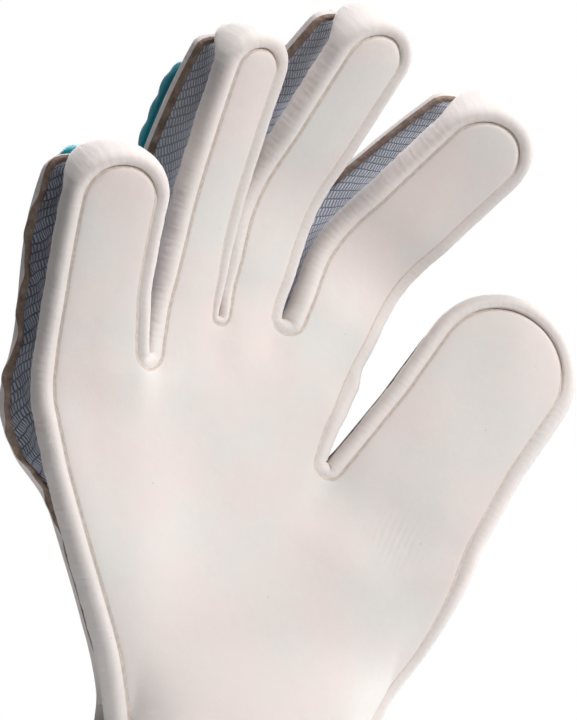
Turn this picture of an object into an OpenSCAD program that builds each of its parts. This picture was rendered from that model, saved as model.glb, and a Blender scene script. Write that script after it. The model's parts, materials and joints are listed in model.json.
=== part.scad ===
// Goalkeeper glove, right hand.
// The origin is the middle of the wrist opening. +Z runs along the hand to the fingertips,
// the palm faces -Y and the thumb is towards +X.

/* [Cuff] */
// Width of the cuff across the wrist
cuff_w = 90; // [84:1:96]
// Depth of the cuff, front to back
cuff_d = 46; // [42:1:50]
// Height of the cuff from its hem to the heel of the palm
cuff_h = 60; // [50:1:62]
// Thickness of the elastic knit band
cuff_wall = 3; // [2:0.5:4]
// Height of the binding round the hem
binding_h = 5; // [4:0.5:8]

/* [Hand] */
// Thickness of the palm latex
latex_t = 4; // [3:0.5:4.5]
// Thickness of the foam backing behind the palm latex
backing_t = 2.4; // [1.5:0.1:2.4]
// Thickness of the backhand panel
backhand_t = 4.5; // [3:0.5:5]
// Thickness of the backhand lining
lining_t = 1.6; // [1:0.1:2]
// Thickness of the knit gussets
gusset_t = 1.6; // [1.2:0.1:2]
// Width of the palm at the heel, between the side gussets
heel_w = 80; // [70:1:82]
// Height of the row across the palm that carries the crotch of the thumb
crotch_z = 133; // [128:1:136]

/* [Digits] */
// Depth of a digit over the gussets, at its root and at its tip
digit_depth = [28, 18]; // [16:0.5:30]
// Depth of the hinge lines behind the front face
pivot_y = 8; // [7:0.5:9]
// Thickness of the front panel of a digit
front_t = 5; // [4:0.5:6]
// Thickness of the back panel of a digit
back_t = 5; // [4:0.5:6]
// Room between a digit's outline and its neighbour
side_room = 2; // [1.5:0.5:3]
// Least gap between two parts of a digit at a hinge line
hinge_gap = 0.4; // [0.3:0.1:0.8]

/* [Little finger] */
// Middle of the front face at the web, X Y Z
little_base = [-50, -16.5, 156]; // [-60:0.5:160]
// How the finger is turned: pitch, lean and roll in degrees
little_turn = [5, 4, -8]; // [-15:0.5:15]
// Rest bend at the three hinge lines, in degrees
little_bend = [8, 5, 7]; // [0:1:20]
// Distance of the three hinge lines above the web
little_hinge = [9, 29, 46]; // [8:1:50]
// Length from web to tip
little_len = 62; // [58:1:66]
// Half width at the root and at the tip
little_half = [14.5, 14]; // [13:0.5:15]

/* [Ring finger] */
// Middle of the front face at the web, X Y Z
ring_base = [-19, -14, 165.5]; // [-30:0.5:170]
// How the finger is turned: pitch, lean and roll in degrees
ring_turn = [6, 3.5, 4]; // [-15:0.5:15]
// Rest bend at the three hinge lines, in degrees
ring_bend = [9, 8, 3]; // [0:1:20]
// Distance of the three hinge lines above the web
ring_hinge = [9, 35, 60]; // [8:1:64]
// Length from web to tip
ring_len = 86; // [82:1:90]
// Half width at the root and at the tip
ring_half = [10, 11.5]; // [9:0.5:12]

/* [Middle finger] */
// Middle of the front face at the web, X Y Z
middle_base = [0.3, -13.5, 169]; // [-20:0.5:174]
// How the finger is turned: pitch, lean and roll in degrees
middle_turn = [2, 12.5, 6]; // [-15:0.5:15]
// Rest bend at the three hinge lines, in degrees
middle_bend = [11, 22, 1]; // [0:1:24]
// Distance of the three hinge lines above the web
middle_hinge = [9, 37, 64]; // [8:1:68]
// Length from web to tip
middle_len = 96; // [90:1:100]
// Half width at the root and at the tip
middle_half = [10, 12.5]; // [9:0.5:13]

/* [Index finger] */
// Middle of the front face at the web, X Y Z
index_base = [22, -14.5, 159]; // [-20:0.5:164]
// How the finger is turned: pitch, lean and roll in degrees
index_turn = [-1, 31.5, 1]; // [-15:0.5:32]
// Rest bend at the three hinge lines, in degrees
index_bend = [4, 34, 3]; // [0:1:36]
// Distance of the three hinge lines above the web
index_hinge = [9, 34, 58]; // [8:1:62]
// Length from web to tip
index_len = 95; // [88:1:98]
// Half width at the root and at the tip
index_half = [13.5, 15]; // [12:0.5:16]

/* [Thumb] */
// Middle of the front face at its root, X Y Z
thumb_base = [42, -24, 118]; // [-30:0.5:122]
// How the thumb is turned: pitch, lean and roll in degrees
thumb_turn = [0, 36.5, -30]; // [-34:0.5:40]
// Rest bend at the two hinge lines, in degrees
thumb_bend = [-6, -3]; // [-8:1:8]
// Distance of the two hinge lines above the root
thumb_hinge = [8, 34]; // [7:1:38]
// Length from root to tip
thumb_len = 69; // [66:1:74]
// Half width at the root and at the tip
thumb_half = [22.5, 22]; // [20:0.5:23]

/* [Travel] */
// Bend back and bend forward of a finger at its root, from rest
root_travel = [-20, 26]; // [-20:1:30]
// Bend back and bend forward at the middle hinge line, from rest
mid_travel = [-15, 32]; // [-15:1:36]
// Bend of the outer hinge line for each degree at the middle one
tip_ratio = 0.6; // [0.4:0.1:0.7]
// Bend back and bend forward at the thumb's hinge lines, from rest
thumb_travel = [-12, 20]; // [-12:1:24]

/* [Wrist strap] */
// Height of the strap
strap_w = 34; // [28:1:38]
// Height of the strap's lower edge above the hem
strap_z = 14; // [8:1:20]
// Thickness of the strap
strap_t = 2.5; // [2:0.5:3]
// Length of the strap over the back of the wrist
strap_len = 66; // [60:1:68]
// Thickness of each half of the hook-and-loop closure
closure_t = 1.4; // [1:0.1:1.6]

/* [Hidden] */
$fn = 64;

LATEX = [0.91, 0.89, 0.86];
FOAM = [0.55, 0.47, 0.42];
KNIT = [0.68, 0.69, 0.76];
TEAL = [0.0, 0.6, 0.66];
DARK = [0.2, 0.21, 0.24];

// A digit is [base, turn, bend, hinges, length, half widths, travel of each hinge]
tip_travel = mid_travel * tip_ratio;
finger_travel = [root_travel, mid_travel, tip_travel];
LITTLE = [little_base, little_turn, little_bend, little_hinge, little_len, little_half, finger_travel];
RING = [ring_base, ring_turn, ring_bend, ring_hinge, ring_len, ring_half, finger_travel];
MIDDLE = [middle_base, middle_turn, middle_bend, middle_hinge, middle_len, middle_half, finger_travel];
INDEX = [index_base, index_turn, index_bend, index_hinge, index_len, index_half, finger_travel];
THUMB = [thumb_base, thumb_turn, thumb_bend, thumb_hinge, thumb_len, thumb_half,
    [thumb_travel, thumb_travel]];
FINGERS = [LITTLE, RING, MIDDLE, INDEX];

seam_gap = 0.3;
wall_gap = 2.1;
edge_gap = 0.8;
web_rise = 2.5;
strap_hinge_x = 33;
closure_gap = 0.3;
hook_gap = seam_gap + closure_t + closure_gap;
strap_gap = hook_gap + closure_t;
spine_t = 2.5;
pad_gap = 1.3;

// ---- points ----
function turn_x(p, a) = [p[0], p[1] * cos(a) - p[2] * sin(a), p[1] * sin(a) + p[2] * cos(a)];
function turn_y(p, a) = [p[0] * cos(a) + p[2] * sin(a), p[1], p[2] * cos(a) - p[0] * sin(a)];
function turn_z(p, a) = [p[0] * cos(a) - p[1] * sin(a), p[0] * sin(a) + p[1] * cos(a), p[2]];
// A point of the hand given in a digit's own axes: across, back, along
function root_point(d, w, y, s) = d[0] + turn_z(turn_y(turn_x([w, y, s], d[1][0]), d[1][1]), d[1][2]);

// Half width and depth of a digit at a height above its web
function half_at(d, s) = d[5][0] + (d[5][1] - d[5][0]) * min(1, max(0, s / d[3][1])) - side_room / 2;
function depth_at(d, s) = digit_depth[0] - (digit_depth[0] - digit_depth[1]) * pow(max(0, s) / d[4], 2.5);

// Half gaps at hinge line j: at the front face when fully bent, at the back when bent back
function front_gap(d, j) = pivot_y * tan(max(0, d[2][j] + d[6][j][1]) / 2) + hinge_gap;
function back_gap(d, j) =
    (depth_at(d, d[3][j]) - pivot_y) * tan(max(0, -d[2][j] - d[6][j][0]) / 2) + hinge_gap;
function last_part(d) = len(d[3]) - 1;

// ---- the hand's rows of columns, from the heel to the finger roots ----
function oval_y(x) = let (r = cuff_d / 2, over = abs(x) - (cuff_w / 2 - r))
    over <= 0 ? r : sqrt(max(0, r * r - over * over));
column_n = 11;
heel_x = [for (i = [0 : column_n + 1]) -heel_w / 2 + heel_w * i / (column_n + 1)];

// Top row: both corners of each finger root, with the web point between neighbours
function top_row(y, gap) = [for (i = [0 : 3]) let (d = FINGERS[i])
    each concat([for (side = [-1, 1])
            root_point(d, side * half_at(d, 0), y(d), d[3][0] - edge_gap - (gap ? front_gap(d, 0) : back_gap(d, 0)))],
        i < 3 ? [(root_point(d, half_at(d, 0), y(d), web_rise)
            + root_point(FINGERS[i + 1], -half_at(FINGERS[i + 1], 0), y(FINGERS[i + 1]), web_rise)) / 2] : [])];
// Middle row: at the height of the thumb's crotch, narrowing from the little finger to the crotch
function mid_row(y, depth) = let (left = root_point(LITTLE, -half_at(LITTLE, 0) + 1, depth, crotch_z - little_base[2]),
        right = root_point(THUMB, -half_at(THUMB, 0) - 6, depth, 3))
    [for (i = [0 : 10]) let (t = i / 10, p = left + (right - left) * t)
        [p[0], p[1] + y * sin(180 * t), crotch_z - (crotch_z - p[2]) * pow(t, 6)]];
function thumb_row(depth, gap) = [for (side = [-1, 1])
    root_point(THUMB, side * half_at(THUMB, 0), depth, thumb_hinge[0] - edge_gap - gap)];
function heel_row(sign) = [for (x = heel_x) [x, sign * (oval_y(x) - seam_gap), cuff_h + seam_gap]];

front_y = function (d) 0;
back_y = function (d) depth_at(d, 0);
palm_top = top_row(front_y, true);
palm_mid = mid_row(1.5, 0);
palm_thumb = thumb_row(0, front_gap(THUMB, 0));
palm_heel = heel_row(-1);
hand_top = top_row(back_y, false);
hand_mid = mid_row(2.5, depth_at(THUMB, 0));
hand_thumb = thumb_row(depth_at(THUMB, 0), back_gap(THUMB, 0));
hand_heel = heel_row(1);

// ---- shared shapes ----
// A closed sheet between rows of points, made thick by the vector t
module sheet(rows, t0, t1) {
    m = len(rows);
    n = len(rows[0]);
    outer = [for (r = rows) for (p = r) p + t0];
    inner = [for (r = rows) for (p = r) p + t1];
    k = m * n;
    skin = [for (i = [0 : m - 2]) for (j = [0 : n - 2]) let (a = i * n + j)
        each [[a, a + 1, a + n + 1], [a, a + n + 1, a + n]]];
    lining = [for (f = skin) [f[2] + k, f[1] + k, f[0] + k]];
    rim = concat([for (j = [0 : n - 2]) j], [for (i = [0 : m - 2]) i * n + n - 1],
        [for (j = [n - 1 : -1 : 1]) (m - 1) * n + j], [for (i = [m - 1 : -1 : 1]) i * n]);
    edge = [for (i = [0 : len(rim) - 1]) let (a = rim[i], b = rim[(i + 1) % len(rim)])
        each [[b, a, a + k], [b, a + k, b + k]]];
    polyhedron(concat(outer, inner), concat(skin, lining, edge), convexity = 6);
}

// Front or back of the hand: heel to crotch, crotch to fingers, both in one piece
module hand_sheet(heel, mid, top, thumb, t0, t1) {
    sheet([heel, concat(mid, thumb)], t0, t1);
    sheet([mid, top], t0, t1);
}

// Moves its children, drawn in a digit's own axes, to part k of that digit
module on_hinge(d, j) {
    translate([0, pivot_y, d[3][j]]) rotate([d[2][j], 0, 0]) translate([0, -pivot_y, -d[3][j]]) children();
}
module on_digit(d, k) {
    translate(d[0]) rotate(d[1]) on_hinge(d, 0)
        if (k == 0) children();
        else on_hinge(d, 1)
            if (k == 1) children();
            else on_hinge(d, 2) children();
}

// Outline of part k of a digit seen from the front, as far in as inset
module face(d, k, inset, low, high) {
    s0 = d[3][k] + low;
    h0 = half_at(d, s0) - inset;
    if (k == last_part(d)) tip_face(s0, h0, d[4] - inset);
    else {
        s1 = d[3][k + 1] - high;
        h1 = half_at(d, s1) - inset;
        polygon([[-h0, s0], [h0, s0], [h1, s1], [-h1, s1]]);
    }
}
// A round-ended outline from height s0 up to height s1
module tip_face(s0, h, s1) {
    intersection() {
        translate([-h, s0]) square([2 * h, s1 - s0]);
        union() {
            translate([0, s1 - h]) circle(h);
            translate([-h, s0]) square([2 * h, max(0.01, s1 - h - s0)]);
        }
    }
}
module stand_face(y0, y1) {
    translate([0, y1, 0]) rotate([90, 0, 0]) linear_extrude(y1 - y0) children();
}
module across(w) {
    translate([-w, 0, 0]) rotate([90, 0, 90]) linear_extrude(2 * w) children();
}

// Side view of part k between two depths below the back face, with its ends cut back for the hinges
function end_of(d, k) = k == last_part(d) ? d[4] : d[3][k + 1];
function gap_top(d, k, gaps) = k == last_part(d) ? 0 : gaps(d, k + 1);
function slope_points(d, k, from, to, low, high) = let (s0 = d[3][k] + low, s1 = end_of(d, k) - high, n = 4)
    concat([for (i = [0 : n]) let (s = s0 + (s1 - s0) * i / n) [depth_at(d, s) - from, s]],
        [for (i = [n : -1 : 0]) let (s = s0 + (s1 - s0) * i / n) [depth_at(d, s) - to, s]]);

module digit_front(d, k) {
    fg = function (d, j) front_gap(d, j);
    color(LATEX) on_digit(d, k) stand_face(0, front_t) face(d, k, 0, front_gap(d, k), gap_top(d, k, fg));
}

module digit_back(d, k) {
    bg = function (d, j) back_gap(d, j);
    low = back_gap(d, k);
    high = gap_top(d, k, bg);
    inset = k == last_part(d) ? 1.5 : 1;
    color(LATEX) on_digit(d, k) intersection() {
        across(thumb_half[0] + 2) polygon(slope_points(d, k, 0, back_t, low, high));
        stand_face(0, digit_depth[0] + 1) face(d, k, inset, low, high);
    }
}

// Knit wall on both sides, and round the end of a tip
module digit_gusset(d, k) {
    color(KNIT) on_digit(d, k) difference() {
        intersection() {
            across(thumb_half[0] + 2) gusset_side(d, k);
            stand_face(0, digit_depth[0]) face(d, k, 0.5, hinge_gap, k == last_part(d) ? 0 : hinge_gap);
        }
        translate([0, 0, k == last_part(d) ? 0 : 0.5])
            stand_face(-1, digit_depth[0] + 1) inner_face(d, k);
    }
}
module inner_face(d, k) {
    inset = 0.5 + gusset_t;
    s0 = d[3][k] - 1;
    h0 = half_at(d, s0) - inset;
    if (k == last_part(d)) tip_face(s0, h0, d[4] - inset);
    else {
        s1 = d[3][k + 1] + 1;
        h1 = half_at(d, s1) - inset;
        polygon([[-h0, s0], [h0, s0], [h1, s1], [-h1, s1]]);
    }
}
module gusset_side(d, k) {
    y0 = front_t + seam_gap;
    pinch = (pivot_y - y0) / pivot_y;
    s0 = d[3][k];
    s1 = end_of(d, k);
    deep0 = depth_at(d, s0) - back_t - seam_gap;
    deep1 = depth_at(d, s1) - back_t - seam_gap;
    mid_s = (s0 + s1) / 2;
    deep_mid = depth_at(d, mid_s) - back_t - seam_gap;
    reach0 = (deep0 - pivot_y) / (depth_at(d, s0) - pivot_y);
    last = k == last_part(d);
    top = last ? [[deep1, s1], [y0, s1]] : [
        [deep1, s1 - back_gap(d, k + 1) * reach0],
        [pivot_y, s1 - hinge_gap],
        [y0, s1 - front_gap(d, k + 1) * pinch]];
    polygon(concat([[y0, s0 + front_gap(d, k) * pinch], [pivot_y, s0 + hinge_gap],
        [deep0, s0 + back_gap(d, k) * reach0], [deep_mid, mid_s]], top));
}

// Moulded ridge on the back of a finger's middle part
module finger_spine(d) {
    s0 = d[3][1] + 5;
    s1 = d[3][2] - 4;
    w = min(half_at(d, s0) - 5, (s1 - s0) / 2 - 0.5);
    color(TEAL) on_digit(d, 1) intersection() {
        across(w) polygon([for (s = [s0, (s0 + s1) / 2, s1]) [depth_at(d, s) + 0.1, s],
            for (s = [s1, (s0 + s1) / 2, s0]) [depth_at(d, s) + spine_t, s]]);
        stand_face(0, digit_depth[0] + spine_t + 1) union() {
            translate([-w, s0 + w]) square([2 * w, s1 - s0 - 2 * w]);
            translate([0, s0 + w]) circle(w);
            translate([0, s1 - w]) circle(w);
        }
    }
}

// ---- hand ----
module palm_latex() {
    color(LATEX) hand_sheet(palm_heel, palm_mid, palm_top, palm_thumb, [0, 0, 0], [0, latex_t, 0]);
}
module palm_backing() {
    color(FOAM) hand_sheet(palm_heel, palm_mid, palm_top, palm_thumb,
        [0, latex_t, 0], [0, latex_t + backing_t, 0]);
}
module backhand_panel() {
    color(LATEX) hand_sheet(hand_heel, hand_mid, hand_top, hand_thumb, [0, -backhand_t, 0], [0, 0, 0]);
}
module backhand_lining() {
    color(KNIT) hand_sheet(hand_heel, hand_mid, hand_top, hand_thumb,
        [0, -backhand_t - lining_t, 0], [0, -backhand_t, 0]);
}

// Points from a front edge point to a back edge point, behind the front layers and before the
// back ones, swollen outwards by the vector swell
function gusset_row(front, back, swell) = let (a = front + [0, latex_t + backing_t + wall_gap, 0],
        b = back - [0, backhand_t + lining_t + wall_gap, 0])
    [for (i = [0 : 4]) a + (b - a) * i / 4 + swell * sin(45 * i)];

module little_side_gusset() {
    rows = [gusset_row(palm_heel[0], hand_heel[0], [-5, 0, 0]),
        gusset_row(palm_mid[0], hand_mid[0], [-4, 0, 0]),
        gusset_row(palm_top[0], hand_top[0], [-1, 0, 0])];
    color(KNIT) sheet(rows, [gusset_t, 0, 0], [0, 0, 0]);
}
module thumb_side_gusset() {
    rows = [gusset_row(palm_heel[column_n + 1], hand_heel[column_n + 1], [5, 0, 0]),
        gusset_row(palm_thumb[1], hand_thumb[1], [1, 0, 0])];
    color(KNIT) sheet(rows, [0, 0, 0], [-gusset_t, 0, 0]);
}
module thumb_web() {
    rows = [gusset_row(palm_top[10], hand_top[10], [0, 0, 0]),
        gusset_row(palm_mid[10], hand_mid[10], [0, 0, 0]),
        gusset_row(palm_thumb[0], hand_thumb[0], [0, 0, 0])];
    color(KNIT) sheet(rows, [0, 0, 0], [-0.7, 0, -0.7] * gusset_t);
}
module finger_webs() {
    color(KNIT) for (i = [0 : 2]) {
        rows = [for (j = [1 : 3]) gusset_row(palm_top[3 * i + j], hand_top[3 * i + j], [0, 0, 0])];
        sheet(rows, [0, 0, 0], [0, 0, -gusset_t]);
    }
}
// Padded band over the knuckles, laid on the backhand between the middle and top rows
module knuckle_pad() {
    rows = [for (t = [0.1, 0.5]) [for (i = [1 : 9]) hand_mid[i] + (hand_top[i] - hand_mid[i]) * t]];
    color(TEAL) sheet(rows, [0, pad_gap, 0], [0, pad_gap + spine_t, 0]);
}

// ---- cuff ----
module oval(w, d) {
    square([w - d, d], center = true);
    for (side = [-1, 1]) translate([side * (w - d) / 2, 0]) circle(d / 2);
}
module cuff_band() {
    color(DARK) translate([0, 0, binding_h]) linear_extrude(cuff_h - binding_h) difference() {
        oval(cuff_w, cuff_d);
        oval(cuff_w - 2 * cuff_wall, cuff_d - 2 * cuff_wall);
    }
}
module cuff_binding() {
    color(TEAL) linear_extrude(binding_h) difference() {
        oval(cuff_w + 1, cuff_d + 1);
        oval(cuff_w - 2 * cuff_wall - 1, cuff_d - 2 * cuff_wall - 1);
    }
}

// Part of an oval ring round the cuff, clear of it by gap, between two places across the wrist
module cuff_wrap(gap, t, x0, x1, z0, z1) {
    translate([0, 0, z0]) linear_extrude(z1 - z0) intersection() {
        difference() {
            oval(cuff_w + 2 * (gap + t), cuff_d + 2 * (gap + t));
            oval(cuff_w + 2 * gap, cuff_d + 2 * gap);
        }
        translate([x0, 0]) square([x1 - x0, cuff_d]);
    }
}
module cuff_loop_patch() {
    color(DARK) cuff_wrap(seam_gap, closure_t, strap_hinge_x - strap_len, strap_hinge_x - 24,
        strap_z + 2, strap_z + strap_w - 2);
}

// ---- wrist strap ----
module strap_hook_patch() {
    color(DARK) cuff_wrap(hook_gap, closure_t, strap_hinge_x - strap_len + 4, strap_hinge_x - 38,
        strap_z + 4, strap_z + strap_w - 4);
}
module wrist_strap() {
    color(LATEX) cuff_wrap(strap_gap, strap_t, strap_hinge_x - strap_len, strap_hinge_x,
        strap_z, strap_z + strap_w);
}

palm_latex();
palm_backing();
backhand_panel();
backhand_lining();
knuckle_pad();
little_side_gusset();
thumb_side_gusset();
finger_webs();
thumb_web();
cuff_band();
cuff_binding();
cuff_loop_patch();
wrist_strap();
strap_hook_patch();
digit_front(LITTLE, 0);  // little_base_front
digit_back(LITTLE, 0);  // little_base_back
digit_gusset(LITTLE, 0);  // little_base_gusset
digit_front(LITTLE, 1);  // little_mid_front
digit_back(LITTLE, 1);  // little_mid_back
digit_gusset(LITTLE, 1);  // little_mid_gusset
digit_front(LITTLE, 2);  // little_tip_front
digit_back(LITTLE, 2);  // little_tip_back
digit_gusset(LITTLE, 2);  // little_tip_gusset
finger_spine(LITTLE);  // little_spine
digit_front(RING, 0);  // ring_base_front
digit_back(RING, 0);  // ring_base_back
digit_gusset(RING, 0);  // ring_base_gusset
digit_front(RING, 1);  // ring_mid_front
digit_back(RING, 1);  // ring_mid_back
digit_gusset(RING, 1);  // ring_mid_gusset
digit_front(RING, 2);  // ring_tip_front
digit_back(RING, 2);  // ring_tip_back
digit_gusset(RING, 2);  // ring_tip_gusset
finger_spine(RING);  // ring_spine
digit_front(MIDDLE, 0);  // middle_base_front
digit_back(MIDDLE, 0);  // middle_base_back
digit_gusset(MIDDLE, 0);  // middle_base_gusset
digit_front(MIDDLE, 1);  // middle_mid_front
digit_back(MIDDLE, 1);  // middle_mid_back
digit_gusset(MIDDLE, 1);  // middle_mid_gusset
digit_front(MIDDLE, 2);  // middle_tip_front
digit_back(MIDDLE, 2);  // middle_tip_back
digit_gusset(MIDDLE, 2);  // middle_tip_gusset
finger_spine(MIDDLE);  // middle_spine
digit_front(INDEX, 0);  // index_base_front
digit_back(INDEX, 0);  // index_base_back
digit_gusset(INDEX, 0);  // index_base_gusset
digit_front(INDEX, 1);  // index_mid_front
digit_back(INDEX, 1);  // index_mid_back
digit_gusset(INDEX, 1);  // index_mid_gusset
digit_front(INDEX, 2);  // index_tip_front
digit_back(INDEX, 2);  // index_tip_back
digit_gusset(INDEX, 2);  // index_tip_gusset
finger_spine(INDEX);  // index_spine
digit_front(THUMB, 0);  // thumb_base_front
digit_back(THUMB, 0);  // thumb_base_back
digit_gusset(THUMB, 0);  // thumb_base_gusset
digit_front(THUMB, 1);  // thumb_tip_front
digit_back(THUMB, 1);  // thumb_tip_back
digit_gusset(THUMB, 1);  // thumb_tip_gusset
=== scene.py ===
"""Right-hand goalkeeper glove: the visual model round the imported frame.

Every surface starts in one flat chart of the glove, X across and Z along the hand, where each digit
lies straight. place() carries a chart point and a depth behind the front face to its place in the
row frame, bent at the frame's own joints. The front panel, the backhand and the knit wall between
them share the chart's outline, so their edges meet all round. Lengths here are in millimetres.
"""
import json
import math

import bpy
import numpy as np
from numpy.linalg import norm
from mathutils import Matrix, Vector
from mathutils.geometry import delaunay_2d_cdt


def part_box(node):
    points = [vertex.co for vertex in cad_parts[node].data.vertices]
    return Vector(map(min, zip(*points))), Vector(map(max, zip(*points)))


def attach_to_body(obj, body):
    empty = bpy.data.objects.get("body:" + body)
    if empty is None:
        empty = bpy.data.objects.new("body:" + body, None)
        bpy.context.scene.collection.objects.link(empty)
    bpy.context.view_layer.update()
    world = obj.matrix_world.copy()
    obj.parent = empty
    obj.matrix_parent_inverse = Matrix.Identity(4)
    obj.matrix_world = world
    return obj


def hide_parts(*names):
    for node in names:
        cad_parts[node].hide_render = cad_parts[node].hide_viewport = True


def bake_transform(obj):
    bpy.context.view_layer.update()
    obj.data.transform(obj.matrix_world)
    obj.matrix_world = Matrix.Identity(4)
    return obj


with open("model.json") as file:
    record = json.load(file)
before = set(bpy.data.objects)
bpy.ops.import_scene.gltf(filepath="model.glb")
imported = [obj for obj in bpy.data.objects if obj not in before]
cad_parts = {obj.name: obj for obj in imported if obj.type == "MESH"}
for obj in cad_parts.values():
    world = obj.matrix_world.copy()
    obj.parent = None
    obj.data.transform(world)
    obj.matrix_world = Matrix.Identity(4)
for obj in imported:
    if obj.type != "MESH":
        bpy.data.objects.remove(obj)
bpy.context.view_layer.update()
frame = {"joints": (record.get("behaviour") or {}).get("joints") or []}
MM = 0.001
JOINTS = {j["name"]: j for j in frame["joints"]}

# ---- driving dimensions ----
PIVOT = 8.0            # hinge lines lie this far behind the front face
DEPTH = (31.0, 19.0)   # depth of a digit over everything, at the root and at the tip
ROLL = 4.2             # radius of the rolled edge of the front panels
PALM_Y = -15.0         # front of the palm
WRIST_R = 22.4         # radius of the wrist's oval ends
WRIST_FLAT = 22.0      # half the straight run between them
HEEL_Z = 52.0          # lower edge of the hand, inside the cuff
CUFF_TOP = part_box("cuff_band")[1].z / MM
FOLD_X, FOLD_RUN, FOLD = 10.7, 28.0, math.radians(30)   # the palm turns forwards to the thumb
STEP = 1.15            # spacing of points along the outline
ROOT_REACH, MOST_REACH = 9.0, 22.0      # a digit's rest bend at a hinge is spread this far each way
CHANNELS = ((-27.5, -0.02), (-9.0, 0.05), (9.0, 0.12))     # X at height 155 and lean of the sewn lines

# name: hinge heights, rest bend at the first and last hinge, length, inner half widths at the
# left of the root, the right of the root and the tip, heights of the slit's bottom left and right
DIGITS = [
    dict(name="little", hinge=(9, 29, 46), bend=(8, 7), length=62, left=10.5, right=12.6, tip=10.0,
         gates=[(0, 3.5), (19, 19), (37.5, 37.5)]),
    dict(name="ring", hinge=(9, 35, 60), bend=(9, 3), length=86, left=8.6, right=7.4, tip=6.4,
         gates=[(0, 6.5), (22, 22), (47.5, 47.5)]),
    dict(name="middle", hinge=(9, 37, 64), bend=(11, 1), length=96, left=7.2, right=7.4, tip=8.7,
         gates=[(2.5, 2.5), (23, 23), (50.5, 50.5)]),
    dict(name="index", hinge=(9, 34, 58), bend=(4, 3), length=95, left=9.2, right=10.3, tip=11.3,
         gates=[(6.5, 0), (21.5, 21.5), (46, 46)]),
    dict(name="thumb", hinge=(8, 34), bend=(-6, -3), length=69, left=20.2, right=20.6, tip=18.0,
         gates=[(2.5, 0), (21, 21)]),
]
SLIT_Z = (158.0, 169.7, 167.2)     # bottoms of the three slits between the fingers


def smooth(x):
    x = np.clip(x, 0.0, 1.0)
    return x * x * (3 - 2 * x)


def turn(vector, axis, angle):
    axis = axis / norm(axis)
    c, s = math.cos(angle), math.sin(angle)
    return vector * c + np.cross(axis, vector) * s + axis * np.dot(axis, vector) * (1 - c)


# ---- digits, from the frame's joints ----
def set_up_digit(d):
    names = ["root", "mid", "tip"] if len(d["hinge"]) == 3 else ["root", "tip"]
    pins = [np.array(JOINTS[f"{d['name']}_{n}_bend"]["pos_m"]) / MM for n in names]
    across = np.array(JOINTS[f"{d['name']}_root_bend"]["axis"], float)
    runs = [(b - a) / norm(b - a) for a, b in zip(pins, pins[1:])]
    angles = [math.radians(d["bend"][0])]
    for a, b in zip(runs, runs[1:]):
        angles.append(math.atan2(np.dot(np.cross(a, b), across), np.dot(a, b)))
    angles.append(math.radians(d["bend"][1]))
    along = turn(runs[0], across, -angles[0])
    back = np.cross(along, across)
    d["axes"] = np.stack([across, back, along], 1)
    d["base"] = pins[0] - d["axes"] @ np.array([0, PIVOT, d["hinge"][0]])
    d["angles"] = angles
    gaps = [b - a for a, b in zip(d["hinge"], d["hinge"][1:])] + [d["length"] - d["hinge"][-1]]
    d["reach"] = [ROOT_REACH] + [min(MOST_REACH, 0.95 * min(a, b)) for a, b in zip(gaps, gaps[1:])]
    d["lean"] = math.asin(-across[2])
    d["bodies"] = ["hand"] + [f"{d['name']}_{n.replace('root', 'base')}" for n in names]


def fold_angle(x, z):
    return FOLD * smooth((z - 60.0) / 48.0) * smooth((x - FOLD_X) / FOLD_RUN)


def palm_xy(x, z):
    """Chart X at height z to x, the forward shift and the turn of the palm there."""
    px, py = np.minimum(x, FOLD_X).astype(float), np.zeros_like(x, float)
    over = np.maximum(x - FOLD_X, 0)
    steps = 12
    for k in range(steps):
        a = fold_angle(FOLD_X + over * (k + 0.5) / steps, z)
        px += np.cos(a) * over / steps
        py -= np.sin(a) * over / steps
    return px, py, fold_angle(x, z)


def oval_y(x, r):
    return np.sqrt(np.maximum(r * r - np.maximum(np.abs(x) - WRIST_FLAT, 0) ** 2, 4.0))


def heel_section(px, z):
    """Half depth of the wrist's oval, which moves towards the thumb as it leaves the cuff."""
    r = WRIST_R - 3.2 * smooth((CUFF_TOP - 0.5 - z) / 3.0)
    return oval_y(np.clip(px - 5.0 * smooth((z - 59.0) / 12.0), -41.0, 41.0), r)


def clear_of_wrist(z):
    """0 where the hand takes the wrist's oval, 1 where it has the palm's own section."""
    return smooth((z - 58.0) / 30.0)


def mound(x, z, x0, z0, wide, tall):
    return np.exp(-((x - x0) / wide) ** 2 - ((z - z0) / tall) ** 2)


def palm_place(x, z, depth):
    px, py, a = palm_xy(x, z)
    up = clear_of_wrist(z)
    hollow = 2.5 * mound(x, z, -12, 112, 22, 26)
    heel = 3.0 * mound(x, z, -34, 98, 16, 30) + 3.0 * mound(x, z, 30, 100, 14, 22)
    front = (1 - up) * -heel_section(px, z) + up * (PALM_Y + hollow - heel)
    return np.stack([px + np.sin(a) * depth, front + py + np.cos(a) * depth, z], -1)


def palm_depth(x, z):
    px, up = palm_xy(x, z)[0], clear_of_wrist(z)
    return (1 - up) * 2 * heel_section(px, z) + up * (DEPTH[0] + 1.0)


def to_digit(d, chart):
    """Chart points to widths and heights (w, s) in a digit's own axes."""
    c, s = math.cos(d["lean"]), math.sin(d["lean"])
    dx, dz = chart[:, 0] - d["chart"][0], chart[:, 1] - d["chart"][1]
    return dx * c - dz * s, dx * s + dz * c


def from_digit(d, w, s):
    c, sn = math.cos(d["lean"]), math.sin(d["lean"])
    return np.array([d["chart"][0] + w * c + s * sn, d["chart"][1] - w * sn + s * c])


def half_width(d, s, side=0):
    root = d["left"] if side < 0 else d["right"] if side > 0 else max(d["left"], d["right"])
    return root + (d["tip"] - root) * smooth(s / (0.8 * d["hinge"][1]))


def half_at(d, w, s):
    """Half width on the side that w is on."""
    return np.where(w < 0, half_width(d, s, -1), half_width(d, s, 1))


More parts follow.
